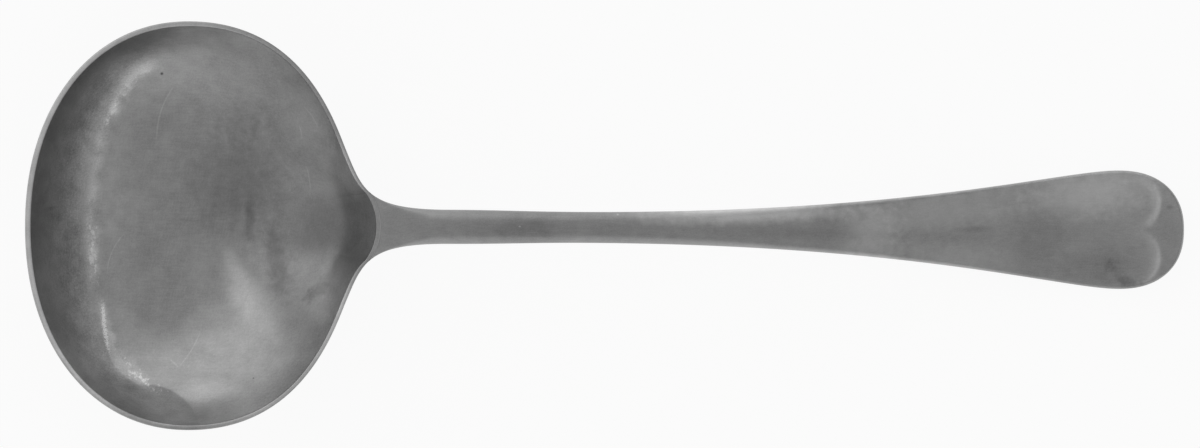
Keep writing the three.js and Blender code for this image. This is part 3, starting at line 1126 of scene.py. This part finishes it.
# Where effects in the bowl start and end, in millimetres along the ladle, aside, up or out from that line
front_end = (-3.0, 8.0)
wall_foot = (-0.5, 2.8)
wall_fade = (5.5, 12.5)
wall_flanks = (3.0, 14.0)
brim_flanks = (24.5, 29.0)
brim_back = (-10.0, 0.0)
neck_start = (11.0, 21.5)
neck_crease = (22.0, 24.5)
neck_flanks = (1.5, 6.5)

# Painted light on the front wall's middle and flanks, and how much of the neck's painted shade goes at the
# crease
wall_painted_light = (0.42, 0.9)
neck_crease_loss = 0.7

# Wear of the lip with painted light: its light at the back and in front, what the right side loses and its
# back corner gains
lip_light = (0.1, 0.9)
lip_front = (-20.0, 8.0)
lip_right = (8.0, 24.0)
lip_right_loss = 0.4
lip_corner_back = (0.0, 12.0)
lip_corner_right = (6.0, 14.0)
lip_corner_gain = 0.9
lip_least = 0.75
lip_clouds = 0.5

# Painted shade on the right wall: the bow at which it ends, and where it fades
shade_bow_x = -6.5
shade_bow_y = -32.0
shade_bow_radius = 8.7
shade_bow_edge = (-0.2, 0.2)
shade_fold_edge = (-0.1, 0.3)
shade_bow_change = (-10.0, -5.0)
shade_bow_right = (12.0, 22.0)
shade_bow_fade = (0.0, 2.0)
shade_bow_rest = 0.3


def distance_from_foot(steel):
    """How far a place lies outside the line rubbed along the front wall's foot, along which painted
    highlights and painted shade also run.
    """
    along = absolute(steel.x) / foot_front
    across = absolute(steel.y) / foot_side
    size = (along**foot_roundness + across**foot_roundness) ** (1 / foot_roundness)
    from_middle = square_root(steel.x * steel.x + steel.y * steel.y)
    return from_middle * (1.0 - 1.0 / larger(size, TINY))


def lip_wear_and_light(steel, fine_clouds):
    light = mix(*lip_light, 1.0 - smooth_step(steel.x, *lip_front))
    light = light - smooth_step(-steel.y, *lip_right) * lip_right_loss
    corner = smooth_step(steel.x, *lip_corner_back) * smooth_step(-steel.y, *lip_corner_right)
    return steel.mark("lip") * (light + corner * lip_corner_gain) * (lip_least + fine_clouds * lip_clouds)


def painted_shade_bow(steel, fold, inside):
    """Painted shade on the right wall, which ends along a bow from the fold to the lip."""
    bow_x = steel.x - shade_bow_x
    bow_y = steel.y - shade_bow_y
    from_bow = square_root(bow_x * bow_x + bow_y * bow_y) - shade_bow_radius
    below_bow = 1.0 - smooth_step(from_bow, *shade_bow_edge)
    mark = mix(smooth_step(fold, *shade_fold_edge), below_bow, smooth_step(steel.x, *shade_bow_change))
    fading = mix(1.0, shade_bow_rest, smooth_step(fold, *shade_bow_fade))
    return mark * smooth_step(-steel.y, *shade_bow_right) * fading * inside


def make_bowl_steel():
    steel = Steel("bowl_steel")
    inside = steel.mark("inside")
    fold = steel.mark("fold")
    grain = steel.effect("brushed_grain", Turn=0.0, Length=2.2, Width=0.3)
    cross_grain = steel.effect("brushed_grain", Turn=math.radians(80), Length=1.6, Width=0.22)
    fine_grain = steel.effect("brushed_grain", Turn=math.radians(30), Length=0.22, Width=0.16)
    clouds = steel.effect("tarnish", Size=9.0)
    fine_clouds = steel.effect("tarnish", Size=2.2)
    hairlines = steel.effect("hairlines", Turn=math.radians(62), Length=14.0, Spacing=1.4, Fineness=0.012)
    cross_hairlines = steel.effect(
        "hairlines", Turn=math.radians(-50), Length=10.0, Spacing=1.7, Fineness=0.01
    )

    # Bands along the fold: wear from stirring, with painted highlights and painted shade
    from_foot = distance_from_foot(steel)
    inside_front = inside * (1.0 - smooth_step(steel.x, *front_end))

    def band(distance, half_width):
        apart = distance / half_width
        return calculate("EXPONENT", -(apart * apart)) * inside_front

    broken = sheen_least + smooth_step(fine_clouds, *sheen_clouds) * sheen_gain
    broken = broken + swayed((fine_grain, sheen_grain))
    wandering = from_foot + swayed((fine_clouds, sheen_sway))
    # Painted highlight along the rubbed fold, broken up by clouds and grain
    sheen = band(wandering, sheen_half_width) * steel.patches(fold_sheen) * broken
    rubbed = band(from_foot, speckle_half_width) * steel.patches(fold_speckles)
    speckles = steel.effect("worn_speckle", Rubbed=rubbed, Size=speckle_size)
    # Painted glint, a highlight at the fold's lower end
    glint = band(fold, glint_half_width) * steel.patches(fold_glint) * smooth_step(fine_grain, *glint_grain)
    # Painted shade just outside the fold
    shadow = band(from_foot - shadow_offset, shadow_half_width) * steel.patches(fold_shadow)
    # Painted light along the floor's edge inside the fold
    floor_edge = band(from_foot - floor_edge_offset, floor_edge_half_width)

    # Stretches lighter with painted light or darker with painted shade as a whole, and pits and scratches
    aside = absolute(steel.y)
    up_wall = smooth_step(from_foot, *wall_foot) * (1.0 - smooth_step(steel.z, *wall_fade)) * inside_front
    # Painted light on the front wall, fading towards the lip
    wall = up_wall * mix(*wall_painted_light, smooth_step(aside, *wall_flanks))
    # Painted light near the rim on both sides
    brim = smooth_step(aside, *brim_flanks) * smooth_step(steel.x, *brim_back) * inside
    # Painted shade towards the neck, less at the crease itself
    neck = smooth_step(steel.x, *neck_start) * (1.0 - smooth_step(steel.x, *neck_crease) * neck_crease_loss)
    neck = neck * (1.0 - smooth_step(aside, *neck_flanks)) * inside
    # Painted shade on the right wall, ending along a bow
    bow_shade = painted_shade_bow(steel, fold, inside)
    pits = steel.patches(bowl_pits) * inside
    scratched = steel.scratches(bowl_scratches) * inside

    # Stains with painted shade, and patches of painted light
    shade = 1.0 - steel.patches(bowl_stains_and_shade) * inside + steel.patches(bowl_painted_light) * inside
    shade = shade + added((wall, 1.0), (floor_edge, 0.2), (brim, 0.4), (neck, -0.4), (bow_shade, -0.45))
    mottle = swayed((clouds, 0.35), (fine_clouds, 0.32))
    mottle = mottle + swayed((grain, 0.26), (cross_grain, 0.2), (fine_grain, 0.36))
    shade = shade * (1.0 + mottle * (1.0 + up_wall))
    shade = shade + added((hairlines, 0.08), (cross_hairlines, 0.08), (scratched, 0.25), (pits, -1.0))
    # Painted highlights and painted shade along the fold, with worn speckles
    shade = shade + added((sheen, 0.6), (speckles, 0.7), (glint, 3.0), (shadow, -1.0))
    # Wear of the lip, with painted light that changes round it
    shade = shade + lip_wear_and_light(steel, fine_clouds)
    roughness = bowl_roughness + swayed((clouds, 0.12), (grain, 0.1)) - speckles * 0.06
    height = added((grain, 0.3), (cross_grain, 0.2), (fine_grain, 0.1), (pits, -3.0))
    return steel.finish(shade * bowl_tone, roughness, height)


# Stains with painted shade, painted light and nicks on the handle's top, given as the bowl's are
handle_stains_and_shade = (
    (48.0, 0.0, 36.0, 7.0, 0, 0.3, 0.15),
    (49.0, 0.0, 7.0, 3.0, 0, 0.6, 0.13),
    (115.0, 0.0, 4.0, 0.7, 2, 0.8, 0.20),
    (92.0, -0.8, 24.0, 1.4, -1, 0.5, 0.12),
    (135.3, -5.2, 1.4, 1.1, 20, 1.6, 0.22),
    (138.2, -7.9, 3.2, 1.5, -15, 1.2, 0.22),
    (134.0, -6.0, 9.0, 4.5, -5, 0.6, 0.20),
    (143.8, 3.3, 0.9, 0.6, 30, 1.0, 0.22),
    (125.0, -1.5, 9.0, 6.0, 70, 0.7, 0.12),
)
# Patches of painted light on the handle's top
handle_painted_light = (
    (81.0, 2.2, 22.0, 2.2, 2, 0.5, 0.95),
    (100.0, 0.0, 9.0, 6.5, 90, 0.6, 0.40),
    (112.0, 3.0, 16.0, 5.0, 8, 0.6, 0.30),
    (113.0, -4.0, 12.0, 3.0, -6, 0.6, 0.22),
    (132.0, 5.5, 14.0, 5.5, 5, 0.6, 0.45),
    (32.0, 0.0, 5.0, 3.5, 0, 0.6, 0.05),
)
handle_nicks = (
    (48.4, 0.1, 0.22, 0.2, 0, 0.3, 0.6),
    (62.7, 1.9, 0.22, 0.2, 0, 0.3, 0.5),
)


# Wear and painted highlights of the handle: how clouds break them up, and where along the handle they change,
# in millimetres
wear_least = 0.6
wear_clouds = 0.8
end_stretch = (112.0, 125.0)
end_wear_loss = 0.7
tip_stretch = (139.0, 143.0)


def make_handle_steel():
    steel = Steel("handle_steel")
    brace = steel.mark("brace")
    grain = steel.effect("brushed_grain", Turn=0.0, Length=4.0, Width=0.25)
    fine_grain = steel.effect("brushed_grain", Turn=math.radians(20), Length=0.22, Width=0.16)
    clouds = steel.effect("tarnish", Size=8.0)
    fine_clouds = steel.effect("tarnish", Size=1.8)
    hairlines = steel.effect("hairlines", Turn=math.radians(6), Length=16.0, Spacing=0.9, Fineness=0.012)
    worn = wear_least + fine_clouds * wear_clouds
    edge_wear = steel.mark("edge") * worn * (1.0 - smooth_step(steel.x, *end_stretch) * end_wear_loss)
    # Painted highlight along the brace line between the lobes and the tip
    brace_highlight = brace * worn
    tip = smooth_step(steel.x, *tip_stretch) * (1.0 - brace)

    shade = 1.0 + swayed((clouds, 0.3), (fine_clouds, 0.22), (grain, 0.22), (fine_grain, 0.32))
    # Stains with painted shade, patches of painted light, and nicks
    shade = shade - steel.patches(handle_stains_and_shade) + steel.patches(handle_painted_light) + steel.patches(handle_nicks)
    shade = shade + added((hairlines, 0.08), (edge_wear, 0.12), (brace_highlight, 0.3), (tip, -0.05))
    roughness = handle_roughness + swayed((clouds, 0.12), (grain, 0.1)) - edge_wear * 0.05
    height = added((grain, 0.3), (fine_grain, 0.2), (hairlines, -0.2))
    return steel.finish(shade * handle_tone, roughness, height)


def make_solder_steel():
    steel = Steel("solder_steel")
    clouds = steel.effect("tarnish", Size=1.1)
    fine_grain = steel.effect("brushed_grain", Turn=0.0, Length=0.2, Width=0.2)
    shade = 1.0 + swayed((clouds, 0.3), (fine_grain, 0.2))
    roughness = solder_roughness + swayed((clouds, 0.2))
    return steel.finish(shade * solder_tone, roughness, added((clouds, 0.6), (fine_grain, 0.2)))


def make_table_white():
    """White to the camera and in the steel, pale and matt to the light, so that a soft shadow stays."""
    material = bpy.data.materials.new("table_white")
    material.use_nodes = True
    tree = material.node_tree
    tree.nodes.clear()
    seen = add_node(tree, "ShaderNodeLightPath").outputs
    looked_at = larger(Field(seen["Is Camera Ray"]), Field(seen["Is Glossy Ray"]))
    looked_at = larger(looked_at, Field(seen["Is Transmission Ray"]))
    matt = add_node(tree, "ShaderNodeBsdfDiffuse", {"Color": table_tone})
    glow = add_node(tree, "ShaderNodeEmission", {"Color": white, "Strength": 1.0})
    mixed = add_node(
        tree,
        "ShaderNodeMixShader",
        {0: looked_at * table_whiteness, 1: matt.outputs[0], 2: glow.outputs[0]},
    )
    add_node(tree, "ShaderNodeOutputMaterial", {"Surface": mixed.outputs[0]})
    return material


def make_floor():
    reach = 3.0
    mesh = bpy.data.meshes.new("floor")
    corners = [(-reach, -reach, 0.0), (reach, -reach, 0.0), (reach, reach, 0.0), (-reach, reach, 0.0)]
    mesh.from_pydata(corners, [], [(0, 1, 2, 3)])
    mesh.materials.append(make_table_white())
    floor = new_piece("floor", mesh)


def make_lamp(name, direction, distance, width, height, radiance):
    """A soft lamp that shines at the ladle's middle."""
    target = Vector(((cad_low.x + cad_high.x) / 2, 0.0, 0.0))
    data = bpy.data.lights.new(name, "AREA")
    data.shape = "RECTANGLE"
    data.size = width
    data.size_y = height
    data.energy = radiance * math.pi * width * height
    lamp = bpy.data.objects.new(name, data)
    lamp.location = target + Vector(direction).normalized() * distance
    lamp.rotation_euler = (target - lamp.location).to_track_quat("-Z", "Y").to_euler()
    bpy.context.scene.collection.objects.link(lamp)


# Light from all round, and the lamps: name, direction, distance, width, height and radiance
world_light = 0.3
lamps = (
    ("top_lamp", (0.0, 0.0, 1.0), 1.0, 1.8, 1.8, 0.3),
    ("far_lamp", (-0.4, 0.9, 0.45), 0.9, 1.2, 0.7, 0.8),
    ("left_lamp", (-1.0, 0.0, 0.3), 0.9, 0.9, 0.6, 0.7),
    ("right_lamp", (1.0, 0.0, 0.35), 0.9, 1.6, 0.5, 0.35),
    ("near_lamp", (-0.25, -0.9, 0.35), 0.9, 1.3, 0.6, 0.65),
)


def make_light():
    world = bpy.data.worlds.new("studio")
    world.use_nodes = True
    background = world.node_tree.nodes["Background"].inputs
    background["Color"].default_value = white
    background["Strength"].default_value = world_light
    bpy.context.scene.world = world
    for lamp in lamps:
        make_lamp(*lamp)


def make_camera():
    """A long lens straight over the ladle, turned by the slight tilt of the photograph's middle line."""
    lens = 400.0
    sensor = 36.0
    view_width = 175.67 * MM
    view_x = 60.11 * MM
    view_y = 0.51 * MM
    view_plane = 12.0 * MM
    tilt = math.radians(0.247)
    data = bpy.data.cameras.new("camera")
    data.lens = lens
    data.sensor_width = sensor
    camera = bpy.data.objects.new("camera", data)
    camera.location = (view_x, view_y, view_plane + view_width / sensor * lens)
    camera.rotation_euler = (0.0, 0.0, tilt)
    bpy.context.scene.collection.objects.link(camera)
    bpy.context.scene.camera = camera


Steel.effects = {
    "brushed_grain": make_brushed_grain(),
    "tarnish": make_tarnish(),
    "hairlines": make_hairlines(),
    "soft_patch": make_soft_patch(),
    "scratch": make_scratch(),
    "worn_speckle": make_worn_speckle(),
}
bowl = make_bowl(make_bowl_steel())
handle = make_handle(make_handle_steel())
solder = make_solder(make_solder_steel())
for piece, node, slot in (
    (bowl, "bowl", "bowl_metal"),
    (handle, "handle", "handle_metal"),
    (solder, "solder_joint", "solder"),
):
    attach(piece, "root")
    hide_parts(node)

make_floor()
make_light()
make_camera()
bpy.context.scene.view_settings.view_transform = "Standard"
